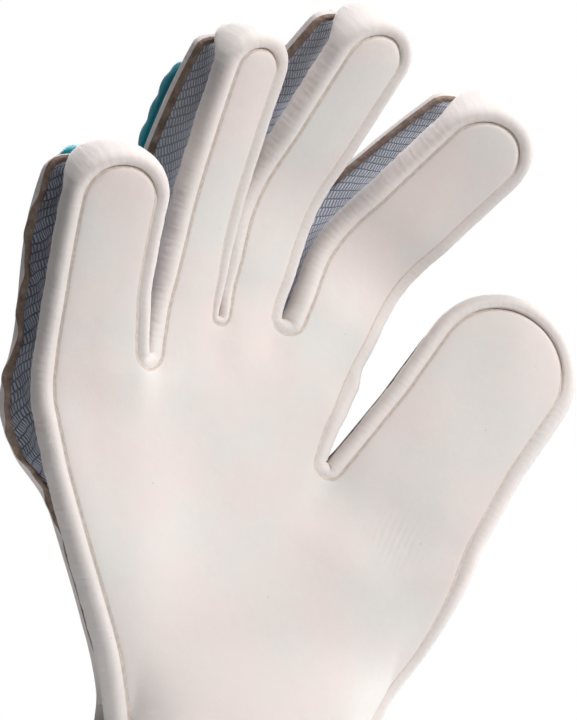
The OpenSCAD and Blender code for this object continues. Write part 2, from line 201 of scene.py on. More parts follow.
def digit_place(d, w, s, depth):
    y, z = depth.astype(float).copy(), s.astype(float).copy()
    for hinge, angle, reach in reversed(list(zip(d["hinge"], d["angles"], d["reach"]))):
        a = smooth((s - hinge + reach) / (2 * reach)) * angle
        dy, dz = y - PIVOT, z - hinge
        y, z = PIVOT + dy * np.cos(a) - dz * np.sin(a), hinge + dy * np.sin(a) + dz * np.cos(a)
    return np.stack([w, y, z], -1) @ d["axes"].T + d["base"]


def digit_depth(d, s):
    return DEPTH[0] - (DEPTH[0] - DEPTH[1]) * np.clip(s / d["length"], 0, 1.1) ** 2.5


def shares(chart, own):
    """Share of each digit's own shape at a chart point; what is left is the palm's."""
    local = [to_digit(d, chart) for d in DIGITS]
    total = np.zeros((len(DIGITS), len(chart)))
    claimed = np.zeros(len(chart))
    for k in range(len(DIGITS)):
        claimed += (own == k) * smooth(local[k][1] / 8.0)
    for k, d in enumerate(DIGITS):
        w, s = local[k]
        reach = 16.0 if d["name"] != "thumb" else 24.0
        near = smooth((s + reach - 2) / reach)
        side = smooth((half_at(d, w, s) + 9.2 - np.abs(w)) / 9.2)
        mine = (own == k) * smooth(s / 8.0)
        total[k] = near * side * (1 - claimed) + mine
    sums = total.sum(0)
    return total / np.maximum(sums, 1.0), local


def place(chart, depth, own):
    """Chart points at a depth behind the front face, in the row frame."""
    chart, depth = np.atleast_2d(chart), np.broadcast_to(np.asarray(depth, float), (len(chart),))
    part, local = shares(chart, own)
    out = palm_place(chart[:, 0], chart[:, 1], depth) * (1 - part.sum(0))[:, None]
    for k, d in enumerate(DIGITS):
        out += digit_place(d, local[k][0], local[k][1], depth) * part[k][:, None]
    return out


def full_depth(chart, own):
    part, local = shares(chart, own)
    out = palm_depth(chart[:, 0], chart[:, 1]) * (1 - part.sum(0))
    for k, d in enumerate(DIGITS):
        out += digit_depth(d, local[k][1]) * part[k]
    return out


for digit in DIGITS:
    set_up_digit(digit)
    target = digit["base"]
    x = target[0]
    for _ in range(12):
        x += target[0] - palm_xy(np.array([x]), np.array([target[2]]))[0][0]
    digit["chart"] = np.array([x, target[2]])


# ---- the chart's outline ----
def rounded(corners, step):
    """A closed polyline through corners (x, z, radius), with an arc at each."""
    out, n = [], len(corners)
    for i in range(n):
        p = np.array(corners[i][:2], float)
        a, b = np.array(corners[i - 1][:2], float), np.array(corners[(i + 1) % n][:2], float)
        u, v = (a - p) / norm(a - p), (b - p) / norm(b - p)
        angle = math.acos(float(np.clip(u @ v, -1, 1)))
        r = corners[i][2]
        if r <= 0 or angle > 3.12:
            out.append(p)
            continue
        cut = r / math.tan(angle / 2)
        centre = p + (u + v) / norm(u + v) * r / math.sin(angle / 2)
        q0, q1 = p + u * cut - centre, p + v * cut - centre
        a0 = math.atan2(q0[1], q0[0])
        da = (math.atan2(q1[1], q1[0]) - a0 + math.pi) % (2 * math.pi) - math.pi
        m = max(2, int(abs(da) * r / step) + 1)
        turns = [a0 + da * k / m for k in range(m + 1)]
        out += [centre + r * np.array([math.cos(t), math.sin(t)]) for t in turns]
    return np.array(out)


def outline_corners():
    little, ring, middle, index, thumb = DIGITS
    out = [(-34.5, HEEL_Z, 5.5), (-37.5, 70, 30), (-49.0, 108, 60), (-56.5, 133, 60)]

    def digit_corners(d, low_left, low_right):
        top = d["length"] - ROLL
        knee = 0.8 * d["hinge"][1]
        pts = []
        if low_left is not None:
            pts.append((*from_digit(d, -d["left"], low_left[0]), low_left[1]))
        pts += [(*from_digit(d, -d["tip"], knee), 40), (*from_digit(d, -d["tip"], top), d["tip"] * 0.99),
                (*from_digit(d, d["tip"], top), d["tip"] * 0.99), (*from_digit(d, d["tip"], knee), 40)]
        if low_right is not None:
            pts.append((*from_digit(d, d["right"], low_right[0]), low_right[1]))
        return pts

    fingers = [little, ring, middle, index]
    feet = [(-5, 30)]                   # height and radius of the corners at both feet of each finger
    for z, a, b in zip(SLIT_Z, fingers, fingers[1:]):
        sa = (z - a["chart"][1] + a["right"] * math.sin(a["lean"])) / math.cos(a["lean"])
        sb = (z - b["chart"][1] - b["left"] * math.sin(b["lean"])) / math.cos(b["lean"])
        gap = norm(from_digit(a, a["right"], sa) - from_digit(b, -b["left"], sb))
        feet += [(sa, 0.47 * gap), (sb, 0.47 * gap)]
    feet.append((-14, 25))
    for k, d in enumerate(fingers):
        out += digit_corners(d, *feet[2 * k:2 * k + 2])
    out += [(20.0, 131.0, 3.6), (26.2, 127.0, 3.2)]
    out += digit_corners(thumb, None, (4, 30))
    out += [(57.5, 94, 40), (51.5, 78, 30), (44.5, 66, 20), (38.5, HEEL_Z, 5.5)]
    return out


def owner_of(chart):
    """Number of the digit that each chart point lies on, -1 for the palm."""
    own = np.full(len(chart), -1)
    for k, d in enumerate(DIGITS):
        w, s = to_digit(d, chart)
        own[(s > 0) & (np.abs(w) < half_at(d, w, s) + 0.8)] = k
    return own


def closed_run(path):
    """The path with its first point again at its end, and the length run up to each point."""
    closed = np.vstack([path, path[:1]])
    return closed, np.concatenate([[0], np.cumsum(norm(np.diff(closed, axis=0), axis=1))])


def even(dense):
    """Even points along the closed polyline dense, their arc lengths and the length all round."""
    closed, length = closed_run(dense)
    at = np.linspace(0, length[-1], int(length[-1] / STEP), endpoint=False)
    return np.stack([np.interp(at, length, closed[:, c]) for c in (0, 1)], 1), at, length[-1]


OUT, ARC, ROUND = even(rounded(outline_corners(), 0.4))
N = len(OUT)
OWN = owner_of(OUT)
TANGENT = np.roll(OUT, -1, 0) - np.roll(OUT, 1, 0)
TANGENT /= norm(TANGENT, axis=1)[:, None]
NORMAL = np.stack([-TANGENT[:, 1], TANGENT[:, 0]], 1)      # outwards: the outline runs clockwise
HEEL = OUT[:, 1] < HEEL_Z + 0.4


# ---- zones: the hand, then each digit between its gates ----
def nearest(point):
    return int(np.argmin(norm(OUT - point, axis=1)))


ZONES = [("hand", "hand", None)]
COLUMN = np.zeros(N, int)          # zone of the strip between outline points i and i + 1
for d in DIGITS:
    d["ends"] = [(nearest(from_digit(d, -half_width(d, np.array([a]), -1)[0], a)),
                  nearest(from_digit(d, half_width(d, np.array([b]), 1)[0], b))) for a, b in d["gates"]]
    for j, (a, b) in enumerate(d["ends"]):
        ZONES.append((d["bodies"][j + 1], d["name"], j))
        COLUMN[a:b] = len(ZONES) - 1
ZONE_OF = {z[0]: i for i, z in enumerate(ZONES)}


def zone_at(chart):
    """Zone of flat points well inside the outline."""
    zone = np.zeros(len(chart), int)
    for d in DIGITS:
        w, s = to_digit(d, chart)
        near = (np.abs(w) < half_width(d, s, 0) + 1.5) & (s > -6)
        for j, (a, b) in enumerate(d["ends"]):
            p, q = OUT[a], OUT[b]
            beyond = (q[0] - p[0]) * (chart[:, 1] - p[1]) - (q[1] - p[1]) * (chart[:, 0] - p[0]) > 0
            zone[near & beyond] = ZONE_OF[d["bodies"][j + 1]]
    return zone


def slack(values, reach):
    """Running minimum, then running mean, round the outline."""
    low = np.min([np.roll(values, k) for k in range(-reach, reach + 1)], 0)
    return np.mean([np.roll(low, k) for k in range(-2 * reach, 2 * reach + 1)], 0)


def free_gap(depth):
    """Clear distance from each outline point to the glove's wall across a slit."""
    at = place(OUT, depth, OWN)
    face = place(OUT + NORMAL, depth, OWN) - at
    face /= norm(face, axis=1)[:, None]
    gap = np.full(N, 60.0)
    for i in range(N):
        to = at - at[i]
        far = norm(to, axis=1)
        apart = np.abs(ARC - ARC[i])
        apart = np.minimum(apart, ROUND - apart)
        seen = (apart > 3.0) & (to @ face[i] > 0.8 * far)
        if seen.any():
            gap[i] = far[seen].min()
    return gap


def tip_share():
    """1 round the end of each digit, 0 along its sides."""
    share = np.zeros(N)
    for k, d in enumerate(DIGITS):
        s, top = to_digit(d, OUT)[1], d["length"] - ROLL
        mine = OWN == k
        share[mine] = smooth((s[mine] - (top - d["tip"])) / (0.9 * d["tip"]))
    return share


TIP = tip_share()
BEND = np.cross(TANGENT, np.roll(TANGENT, -1, 0)) / (ROUND / N)      # above 0 at the bottoms of the slits
HOLLOW = np.where(BEND > 0.08, 0.98 / np.maximum(BEND, 0.08), 60.0)
EDGE_R = np.minimum(ROLL, np.minimum(slack(0.51 * free_gap(3.0), 1), slack(HOLLOW, 1)))
EDGE_R = EDGE_R * (0.05 + 0.95 * smooth((OUT[:, 1] - 55.0) / 8.0))      # almost flat inside the cuff
DEEP = full_depth(OUT, OWN)
LEFT = np.where((NORMAL[:, 0] < -0.6) & ((OWN == 0) | (OWN == -1)) & (OUT[:, 0] < -30), 1.0, 0.0)
rise = OUT[:, 1]
bulge = -6.5 + 6.5 * smooth((rise - 119) / 20) + 2.3 * smooth((rise - 138) / 16) \
    - 1.0 * np.exp(-((rise - 165) / 7) ** 2) + 1.6 * smooth((rise - 170) / 24)
BACK_OUT = np.minimum(2.2, slack(0.42 * free_gap(24.0), 3)) * (1 - LEFT) + bulge * LEFT
BACK_OUT = np.mean([np.roll(BACK_OUT, k) for k in range(-4, 5)], 0) * (1 - TIP) - 2.4 * TIP
BACK_OUT[HEEL] = 0.0


# ---- surfaces ----
class Skin:
    """A surface over the whole glove: points in the row frame, flat coordinates, faces and their zones."""

    def __init__(self):
        self.at, self.chart, self.strip, self.faces, self.zone, self.look = [], [], [], [], [], []
        self.count = 0

    def points(self, chart, depth, own, strip=None):
        self.at.append(place(chart, depth, own))
        self.chart.append(chart)
        self.strip.append(np.zeros_like(chart) if strip is None else strip)
        self.count += len(chart)
        return self.count - len(chart)

    def row(self, out, depth, across):
        """One point for each outline point, out from it and depth behind the front face."""
        chart = OUT + NORMAL * np.broadcast_to(out, (N,))[:, None]
        strip = np.stack([ARC, np.broadcast_to(across, (N,))], 1)
        return self.points(chart, np.broadcast_to(depth, (N,)), OWN, strip)

    def strips(self, rows, look, keep=None):
        i = np.arange(N) if keep is None else np.where(keep)[0]
        j = (i + 1) % N
        for a, b in zip(rows, rows[1:]):
            self.faces.append(np.stack([a + i, a + j, b + j, b + i], 1))
            self.zone.append(COLUMN[i])
            self.look.append(np.full(len(i), look))

    def sheet(self, row, inner, depth, own, triangles, zone, look):
        """Triangles over a row and the flat points inside it, which go in at the given depth."""
        start = self.points(inner, depth, own)
        self.faces.append(np.concatenate([row + np.arange(N), start + np.arange(len(inner))])[triangles])
        self.zone.append(zone)
        self.look.append(np.full(len(triangles), look))

    def finish(self):
        self.at, self.chart, self.strip = (np.vstack(x) for x in (self.at, self.chart, self.strip))
        self.faces = [tuple(int(v) for v in f) for block in self.faces for f in block]
        self.zone, self.look = np.concatenate(self.zone), np.concatenate(self.look)
        self.normal = np.zeros_like(self.at)
        for f in self.faces:
            p = self.at[list(f)]
            n = np.cross(p[2] - p[0], p[3] - p[1]) if len(f) == 4 else np.cross(p[1] - p[0], p[2] - p[0])
            for v in f:
                self.normal[v] += n
        self.normal /= np.maximum(norm(self.normal, axis=1)[:, None], 1e-9)
        return self

    def piece(self, name, zone, materials):
        """The part of the skin in one zone as an object, with the whole skin's normals at its edges."""
        chosen = [i for i in range(len(self.faces)) if self.zone[i] == zone]
        used = sorted({v for i in chosen for v in self.faces[i]})
        renumber = {v: n for n, v in enumerate(used)}
        faces = [tuple(renumber[v] for v in self.faces[i]) for i in chosen]
        return build(name, self.at[used], faces, [self.look[i] for i in chosen], materials,
                     self.chart[used], self.strip[used], self.normal[used])


def build(name, at, faces, looks, materials, chart=None, strip=None, normal=None):
    """An object from points in millimetres; looks picks each face's material, None the first."""
    mesh = bpy.data.meshes.new(name)
    mesh.from_pydata((np.asarray(at) * MM).tolist(), [], faces)
    looks = [0] * len(faces) if looks is None else looks
    kept = sorted(set(looks))
    for k in kept:
        mesh.materials.append(materials[k])
    mesh.polygons.foreach_set("material_index", [kept.index(k) for k in looks])
    mesh.polygons.foreach_set("use_smooth", [True] * len(faces))
    loops = np.zeros(len(mesh.loops), int)
    mesh.loops.foreach_get("vertex_index", loops)
    for layer, values in (("chart", chart), ("strip", strip)):
        if values is not None:
            uv = mesh.uv_layers.new(name=layer)
            uv.data.foreach_set("uv", (values[loops] * 0.01).ravel())
    if normal is not None:
        mesh.normals_split_custom_set_from_vertices(normal.tolist())
    obj = bpy.data.objects.new(name, mesh)
    bpy.context.scene.collection.objects.link(obj)
    return obj


def inside(points, ring):
    x, y = points[:, 0][:, None], points[:, 1][:, None]
    a, b = ring, np.roll(ring, -1, 0)
    cross = ((a[:, 1] > y) != (b[:, 1] > y)) & \
        (x < (b[:, 0] - a[:, 0]) * (y - a[:, 1]) / (b[:, 1] - a[:, 1] + 1e-12) + a[:, 0])
    return cross.sum(1) % 2 == 1


def fill(ring, step):
    """Points inside a ring of N flat points and the triangles that join them, cut along every gate."""
    cuts, extra = [], []
    for d in DIGITS:
        for a, b in d["ends"]:
            m = max(2, int(norm(ring[b] - ring[a]) / step))
            line = [ring[a] + (ring[b] - ring[a]) * t / m for t in range(1, m)]
            ids = [a] + [N + len(extra) + t for t in range(len(line))] + [b]
            extra += line
            cuts += list(zip(ids, ids[1:]))
    extra = np.array(extra)
    low, high = ring.min(0), ring.max(0)
    rows = np.arange(low[1] + step / 2, high[1], step * 0.87)
    grid = np.array([(x, z) for n, z in enumerate(rows)
                     for x in np.arange(low[0] + (n % 2) * step / 2, high[0], step)])
    grid = grid[inside(grid, ring)]
    fixed = np.vstack([ring, extra])
    near = np.array([np.min(norm(fixed - g, axis=1)) for g in grid])
    points = np.vstack([fixed, grid[near > 0.62 * step]])
    made = delaunay_2d_cdt([Vector(p) for p in points], cuts, [list(range(N))[::-1]], 1, 1e-6)
    coords = np.array([tuple(v) for v in made[0]])
    back = [ids[0] if ids else -1 for ids in made[3]]
    triangles = np.array([[back[v] for v in f] for f in made[2] if len(f) == 3])
    assert len(coords) == len(points) and triangles.min() >= 0
    p = points[triangles]
    area = np.cross(p[:, 1] - p[:, 0], p[:, 2] - p[:, 0])
    triangles[area < 0] = triangles[area < 0][:, ::-1]
    return points[N:], triangles


def edge_distance(chart, ring):
    return np.array([np.min(norm(ring - c, axis=1)) for c in chart])


def front_depth(chart, e, cut=0.0):
    """Depth of the front panel's face: a seam groove of depth cut at its edge, then a soft crown."""
    wrinkle = 0.18 * np.sin(chart[:, 0] * 0.21 + 1.3 * np.sin(chart[:, 1] * 0.09)) * smooth((e - 2) / 8)
    return cut * np.exp(-(e / 0.65) ** 2) - 1.1 * (1 - np.exp(-e / 5.0)) + wrinkle


PANEL, GROOVE, BORDER, FOAM, LINING = range(5)


def front_skin():
    skin = Skin()
    insets = [4.6, 3.3, 2.2, 1.4, 0.8, 0.4, 0.0]
    cut = 0.35 + 1.05 * TIP
    rows = [skin.row(-e, front_depth(OUT - NORMAL * e, np.full(N, e), cut), -e) for e in insets]
    skin.strips(rows[:5], PANEL)
    # the groove rows take the seam look, with its painted shade
    skin.strips(rows[4:], GROOVE)
    ring = OUT - NORMAL * insets[0]
    inner, triangles = fill(ring, 2.2)
    own = owner_of(inner)
    zone = zone_at(np.vstack([ring, inner])[triangles].mean(1))
    skin.sheet(rows[0], inner, front_depth(inner, edge_distance(inner, OUT)), own, triangles, zone, PANEL)
    # the rolled edge; round a fingertip it carries on over the end to the back panel
    pucker = 1 + 0.014 * np.sin(ARC * 0.61 + 2.0 * np.sin(ARC * 0.13)) \
        + 0.008 * np.sin(ARC * 2.1 + 1.7 * np.sin(ARC * 0.31))
    r = EDGE_R * pucker / ROLL
    profile = [(0.12, 0.3), (0.5, 0.0), (1.4, -0.35), (2.2, -0.3), (3.0, 0.15), (3.6, 0.95), (4.05, 2.0),
               (4.2, 3.1)]
    side_out, side_in = profile[-1]
    edge = [rows[-1]] + [skin.row(x * r, d * r, x) for x, d in profile]
    end_out = 3.5 * r * (1 - TIP) + (BACK_OUT + 0.3) * TIP
    end_in = 5.9 * r * (1 - TIP) + (DEEP - 3.2) * TIP
    for t in (0.2, 0.4, 0.6, 0.8, 1.0):
        bow = 1 - math.sqrt(1 - t * t)
        edge.append(skin.row(side_out * r + (end_out - side_out * r) * bow,
                             side_in * r + (end_in - side_in * r) * t, side_out + 3 * t))
    edge.append(skin.row(end_out - 1.2, end_in + 0.3, 8.0))
    skin.strips(edge, BORDER)
    # foam backing inside the hand
    lip = [skin.row(np.minimum(end_out - 1.6, 0.5), np.minimum(end_in, 5.2), 9.0),
           skin.row(-insets[0], 4.4, 10.0)]
    skin.strips([edge[-1]] + lip, FOAM, COLUMN == 0)
    hand = zone == 0
    skin.sheet(lip[1], inner, np.full(len(inner), 4.3), own, triangles[hand][:, ::-1], zone[hand], FOAM)
    return skin.finish(), end_out, end_in


def channel_offsets(chart):
    """Distances along X of chart points from each sewn line down the back of the hand."""
    return [chart[:, 0] - (x0 + lean * (chart[:, 1] - 155)) for x0, lean in CHANNELS]


def back_relief(chart, own):
    """Grooves in the back: across the digits at their hinge lines, down the hand between them."""
    cut = np.zeros(len(chart))
    for k, d in enumerate(DIGITS):
        w, s = to_digit(d, chart)
        for hinge in d["hinge"]:
            bow = s - hinge + 0.02 * w * w
            cut = np.maximum(cut, (own == k) * 1.3 * np.exp(-(bow / 1.3) ** 2))
    fade = smooth((chart[:, 1] - 66) / 10) * smooth((128 - chart[:, 1]) / 8)
    for off in channel_offsets(chart):
        cut = np.maximum(cut, (own == -1) * fade * 1.3 * np.exp(-(off / 1.3) ** 2))
    return cut


def back_depth(chart, own, e):
    drop = 3.6 * np.exp(-(e / 4.5) ** 2)
    return full_depth(chart, own) - drop - back_relief(chart, own)


def back_skin():
    skin = Skin()
    shrink = 1 - 0.45 * TIP
    insets = [5.0, 3.6, 2.4, 1.4, 0.7, 0.2]
    rows = []
    for e in insets:
        out = BACK_OUT - e * shrink
        rows.append(skin.row(out, back_depth(OUT + NORMAL * out[:, None], OWN, np.full(N, e)), -e))
    ring = OUT + NORMAL * (BACK_OUT - insets[0] * shrink)[:, None]
    inner, triangles = fill(ring, 1.9)
    edge = OUT + NORMAL * BACK_OUT[:, None]
    own = owner_of(inner)
    zone = zone_at(np.vstack([ring, inner])[triangles].mean(1))
    skin.sheet(rows[0], inner, back_depth(inner, own, edge_distance(inner, edge)), own, triangles[:, ::-1],
               zone, PANEL)
    skin.strips(rows[::-1], PANEL)
    # raw foam edge: short folds down the side of the little finger, straight elsewhere
    fold = LEFT * smooth((OUT[:, 1] - 100) / 20)
    fold = fold * (0.9 * np.sin(ARC * 0.36 + 0.8 * np.sin(ARC * 0.11)) + 0.25 * np.sin(ARC * 0.93 + 1))
    # out from the back's edge, down from the back, share of the folds in each, distance over the edge
    turned = [(0.1, 3.9, 0, 0, 0.5), (0.25, 4.8, 0.3, 0.4, 1.4), (0.25, 5.9, 0.4, 0.7, 2.3),
              (0.35, 6.1, 0.5, 0.8, 2.6), (0.1, 7.0, 0.5, 0.8, 3.2), (-0.4, 7.4, 0.5, 0.8, 3.8),
              (-1.6, 7.4, 0, 0, 4.4)]
    over = [rows[-1]]
    over += [skin.row(BACK_OUT + x + a * fold, DEEP - y + b * fold, c) for x, y, a, b, c in turned]
    skin.strips(over[3::-1], BORDER)
    skin.strips(over[:2:-1], FOAM)
    lip = skin.row(BACK_OUT - insets[0] * shrink - 0.5, DEEP - 7.0, 5.0)
    skin.strips([lip, over[-1]], LINING, COLUMN == 0)
    hand = zone == 0
    skin.sheet(lip, inner, full_depth(inner, own) - 7.0, own, triangles[hand], zone[hand], LINING)
    return skin.finish()


WALL_LAP = 20.0        # the wall's width in its flat coordinates


def wall_skin(front_out, front_in):
    """The knit wall from behind the rolled edge to the back panel's edge."""
    skin = Skin()
    n = 14
    a_out, a_in = front_out - 0.7, front_in - 0.3
    b_out, b_in = BACK_OUT - 0.9, DEEP - 7.0
    span = np.maximum(b_in - a_in, 0.0)
    side = LEFT * smooth((OUT[:, 1] - 95) / 20)
    rows = []
    for c in range(n + 1):
        t = c / n
        valley = np.minimum(2.8, 0.22 * span) * math.sin(math.pi * t)
        ripple = side * 0.8 * math.sin(2 * math.pi * t * 1.5) * np.sin(ARC * 0.52) \
            + 0.35 * math.sin(math.pi * t) * np.sin(ARC * 0.33 + 4 * t) * smooth(span / 6)
        out = a_out + (b_out - a_out) * t - valley + ripple
        rows.append(skin.row(out, a_in + (b_in - a_in) * t, t * WALL_LAP))
    free = ~(HEEL & np.roll(HEEL, -1))
    skin.strips(rows, 0, free & (LEFT < 0.5))
    # the little finger's side takes the knit with painted shade
    skin.strips(rows, 1, free & (LEFT >= 0.5))
    return skin.finish()


# ---- materials ----
def srgb(*rgb):
    """The linear colour of an sRGB colour given in 0 to 255."""
    share = [v / 255 for v in rgb]
    return tuple(c / 12.92 if c <= 0.04045 else ((c + 0.055) / 1.055) ** 2.4 for c in share) + (1.0,)


class Graph:
    """Short calls that add nodes to a material or world."""

    def __init__(self, owner):
        owner.use_nodes = True
        self.tree = owner.node_tree

    def node(self, kind, inputs=None, **settings):
        made = self.tree.nodes.new(kind)
        for key, value in settings.items():
            setattr(made, key, value)
        for key, value in (inputs or {}).items():
            if isinstance(value, bpy.types.NodeSocket):
                self.tree.links.new(value, made.inputs[key])
            else:
                made.inputs[key].default_value = value
        return made

    def scale(self, value, low, high, start=0.0, end=1.0, **settings):
        """Carries a value from start..end to low..high."""
        inputs = {"Value": value, "From Min": start, "From Max": end, "To Min": low, "To Max": high}
        return self.node("ShaderNodeMapRange", inputs, **settings).outputs["Result"]


class Look(Graph):
    """A material made of short node calls."""

    def __init__(self, name, roughness, **sockets):
        self.material = bpy.data.materials.new(name)
        super().__init__(self.material)
        self.shader = self.tree.nodes["Principled BSDF"]
        self.shader.inputs["Roughness"].default_value = roughness
        for key, value in sockets.items():
            self.shader.inputs[key.replace("_", " ")].default_value = value

    def flat(self, layer):
        return self.node("ShaderNodeUVMap", uv_map=layer).outputs["UV"]

    def place(self):
        return self.node("ShaderNodeTexCoord").outputs["Object"]

    def mapped(self, vector, key, value):
        return self.node("ShaderNodeMapping", {"Vector": vector, key: value}).outputs["Vector"]

    def noise(self, vector, scale, detail=3.0, rough=0.5, stretch=None):
        if stretch:
            vector = self.mapped(vector, "Scale", stretch)
        return self.node("ShaderNodeTexNoise", {"Vector": vector, "Scale": scale, "Detail": detail,
                                                "Roughness": rough}).outputs["Fac"]

    def wave(self, vector, scale, distort=0.0, turn=0.0, detail=2.0, dscale=1.0):
        if turn:
            vector = self.mapped(vector, "Rotation", (0, 0, turn))
        made = self.node("ShaderNodeTexWave", {"Vector": vector, "Scale": scale, "Distortion": distort,
                                               "Detail": detail, "Detail Scale": dscale})
        return made.outputs["Fac"]

    def cells(self, vector, scale, **settings):
        return self.node("ShaderNodeTexVoronoi", {"Vector": vector, "Scale": scale}, **settings)

    def math(self, operation, a, b=0.0):
        return self.node("ShaderNodeMath", {0: a, 1: b}, operation=operation).outputs["Value"]

    def ramp(self, fac, low, high, a, b):
        """Colour a below low, b above high."""
        made = self.node("ShaderNodeValToRGB", {"Fac": fac})
        first, second = made.color_ramp.elements
        first.position, first.color, second.position, second.color = low, a, high, b
        return made.outputs["Color"]

    def mix(self, fac, a, b, blend="MIX"):
        return self.node("ShaderNodeMix", {0: fac, 6: a, 7: b}, data_type="RGBA", blend_type=blend).outputs[2]

    def spot(self, vector, centre, near, far, most):
        """A value of most within near of centre, falling to nothing at far."""
        off = self.node("ShaderNodeVectorMath", {0: vector, 1: centre}, operation="DISTANCE").outputs["Value"]
        return self.scale(off, most, 0.0, near, far, interpolation_type="SMOOTHSTEP")

    def colour(self, value):
        self.tree.links.new(value, self.shader.inputs["Base Color"])

    def rough(self, value):
        self.tree.links.new(value, self.shader.inputs["Roughness"])

    def grain(self, pattern, low, high, a, b, height, strength):
        """Two colours and a relief from one pattern; returns the material."""
        self.colour(self.ramp(pattern, low, high, a, b))
        self.bump((pattern, height, strength))
        return self.material

    def bump(self, *layers):
        """Heights in millimetres, each (value, height, strength)."""
        normal = None
        for value, height, strength in layers:
            inputs = {"Height": value, "Distance": height * MM, "Strength": strength}
            if normal:
                inputs["Normal"] = normal
            normal = self.node("ShaderNodeBump", inputs).outputs["Normal"]
        self.tree.links.new(normal, self.shader.inputs["Normal"])


def latex(name, warm, cool, dirt, creases=False, fold=None):
    """Smooth foam latex; creases for the rolled edge, fold for the palm, with painted shade over the palm's
    lower left.
    """
    look = Look(name, 0.6, Specular_IOR_Level=0.32, Subsurface_Weight=0.06,
                Subsurface_Radius=(0.004, 0.003, 0.0025))
    flat = look.flat("chart")
    base = look.ramp(look.noise(flat, 3.4, 4.0), 0.38, 0.64, warm, cool)
    base = look.mix(look.scale(look.noise(flat, 22.0, 5.0, 0.6), 0.0, 0.16), base, dirt)
    if fold:
        # painted shade: the palm darkens towards its lower left, on the little finger's side by the wrist
        base = look.mix(look.spot(flat, (-0.22, 0.62, 0), 0.1, 0.62, 0.62), base, srgb(206, 194, 190))
    speck = look.cells(flat, 16.0, feature="F1")
    dot = look.math("LESS_THAN", speck.outputs["Distance"], 0.035)
    tone = look.node("ShaderNodeSeparateColor", {"Color": speck.outputs["Color"]}).outputs["Red"]
    rare = look.math("GREATER_THAN", tone, 0.72)
    base = look.mix(look.math("MULTIPLY", look.math("MULTIPLY", dot, rare), 0.4), base, srgb(150, 138, 132))
    look.colour(base)
    look.rough(look.scale(look.noise(flat, 9.0), 0.5, 0.7))
    layers = [(look.noise(flat, 260.0, 2.0), 0.12, 0.35), (look.noise(flat, 26.0, 3.0), 0.5, 0.2)]
    if fold:
        near = look.spot(flat, (fold[0] * 0.01, fold[1] * 0.01, 0), 0.02, 0.12, 1.0)
        lines = look.wave(flat, 17.0, 3.0, turn=0.5, detail=2.0, dscale=1.2)
        layers.append((look.math("MULTIPLY", lines, near), 0.12, 0.45))
    if creases:
        layers.append((look.wave(look.flat("strip"), 15.0, 6.0, detail=3.0, dscale=2.0), 0.10, 0.4))
        layers.append((look.noise(look.flat("strip"), 30.0, 3.0, 0.5, (3.0, 0.6, 1.0)), 0.2, 0.3))
    look.bump(*layers)
    return look.material


def knit(name, light, dark, layer, pitch, row, slant):
    """Rows of slanted loops, pitch apart and row high, in millimetres."""
    look = Look(name, 0.85, Specular_IOR_Level=0.15, Sheen_Weight=0.25)
    flat = look.flat(layer)
    wobble = look.node("ShaderNodeTexNoise", {"Vector": flat, "Scale": 30.0, "Detail": 1.0}).outputs["Color"]
    flat = look.mix(0.006, flat, wobble, "ADD")
    turned = look.mapped(flat, "Rotation", (0, 0, slant))
    loops = look.node("ShaderNodeTexBrick", {"Vector": turned, "Scale": 1.0, "Mortar Size": pitch * 0.0036,
                                             "Mortar Smooth": 1.0, "Brick Width": pitch * 0.01,
                                             "Row Height": row * 0.01}, offset=0.5).outputs["Fac"]
    base = look.ramp(loops, 0.1, 0.9, light, dark)
    base = look.mix(look.scale(look.noise(flat, 14.0, 4.0), 0.0, 0.3), base, dark)
    look.colour(base)
    look.bump((look.math("SUBTRACT", 1.0, loops), 0.5, 0.9), (look.noise(flat, 200.0), 0.15, 0.3))
    return look.material


def foam(name, light, dark):
    look = Look(name, 0.95, Specular_IOR_Level=0.1)
    at = look.place()
    pores = look.cells(at, 900.0).outputs["Distance"]
    grain = look.noise(at, 260.0, 4.0, 0.7)
    base = look.ramp(grain, 0.35, 0.68, dark, light)
    base = look.mix(look.scale(look.noise(at, 45.0, 2.0), 0.0, 0.6), base, dark)
    look.colour(base)
    look.bump((pores, 0.35, 0.6), (grain, 0.6, 0.5))
    return look.material


def rubber(name, main, deep):
    look = Look(name, 0.42, Specular_IOR_Level=0.45, Coat_Weight=0.08)
    at = look.place()
    cloud = look.noise(at, 60.0, 4.0)
    look.colour(look.ramp(cloud, 0.3, 0.75, deep, main))
    look.rough(look.scale(look.noise(at, 150.0), 0.34, 0.52))
    look.bump((look.noise(at, 1800.0, 2.0), 0.08, 0.4), (look.noise(at, 90.0), 0.3, 0.2))
    return look.material


PALM_LATEX = latex("palm_latex_smooth", srgb(238, 226, 222), srgb(231, 229, 225), srgb(208, 194, 189),
                   fold=(43, 112))
EDGE_LATEX = latex("edge_latex_creased", srgb(240, 231, 227), srgb(234, 228, 224), srgb(208, 194, 187),
                   creases=True)
BACK_LATEX = latex("back_latex", srgb(224, 219, 217), srgb(216, 214, 214), srgb(190, 183, 180))
# seam groove: the latex's own grain in two tans darker than the latex; the darker tone is painted shade in
# the groove
look = Look("seam_fold", 0.8, Specular_IOR_Level=0.15)
SEAM = look.grain(look.noise(look.flat("strip"), 60.0, 4.0, 0.6, (1.0, 3.0, 1.0)), 0.35, 0.7,
                  srgb(206, 192, 182), srgb(230, 219, 211), 0.3, 0.5)
KNIT = knit("wall_knit", srgb(242, 243, 249), srgb(164, 168, 188), "strip", 1.05, 2.4, 1.05)
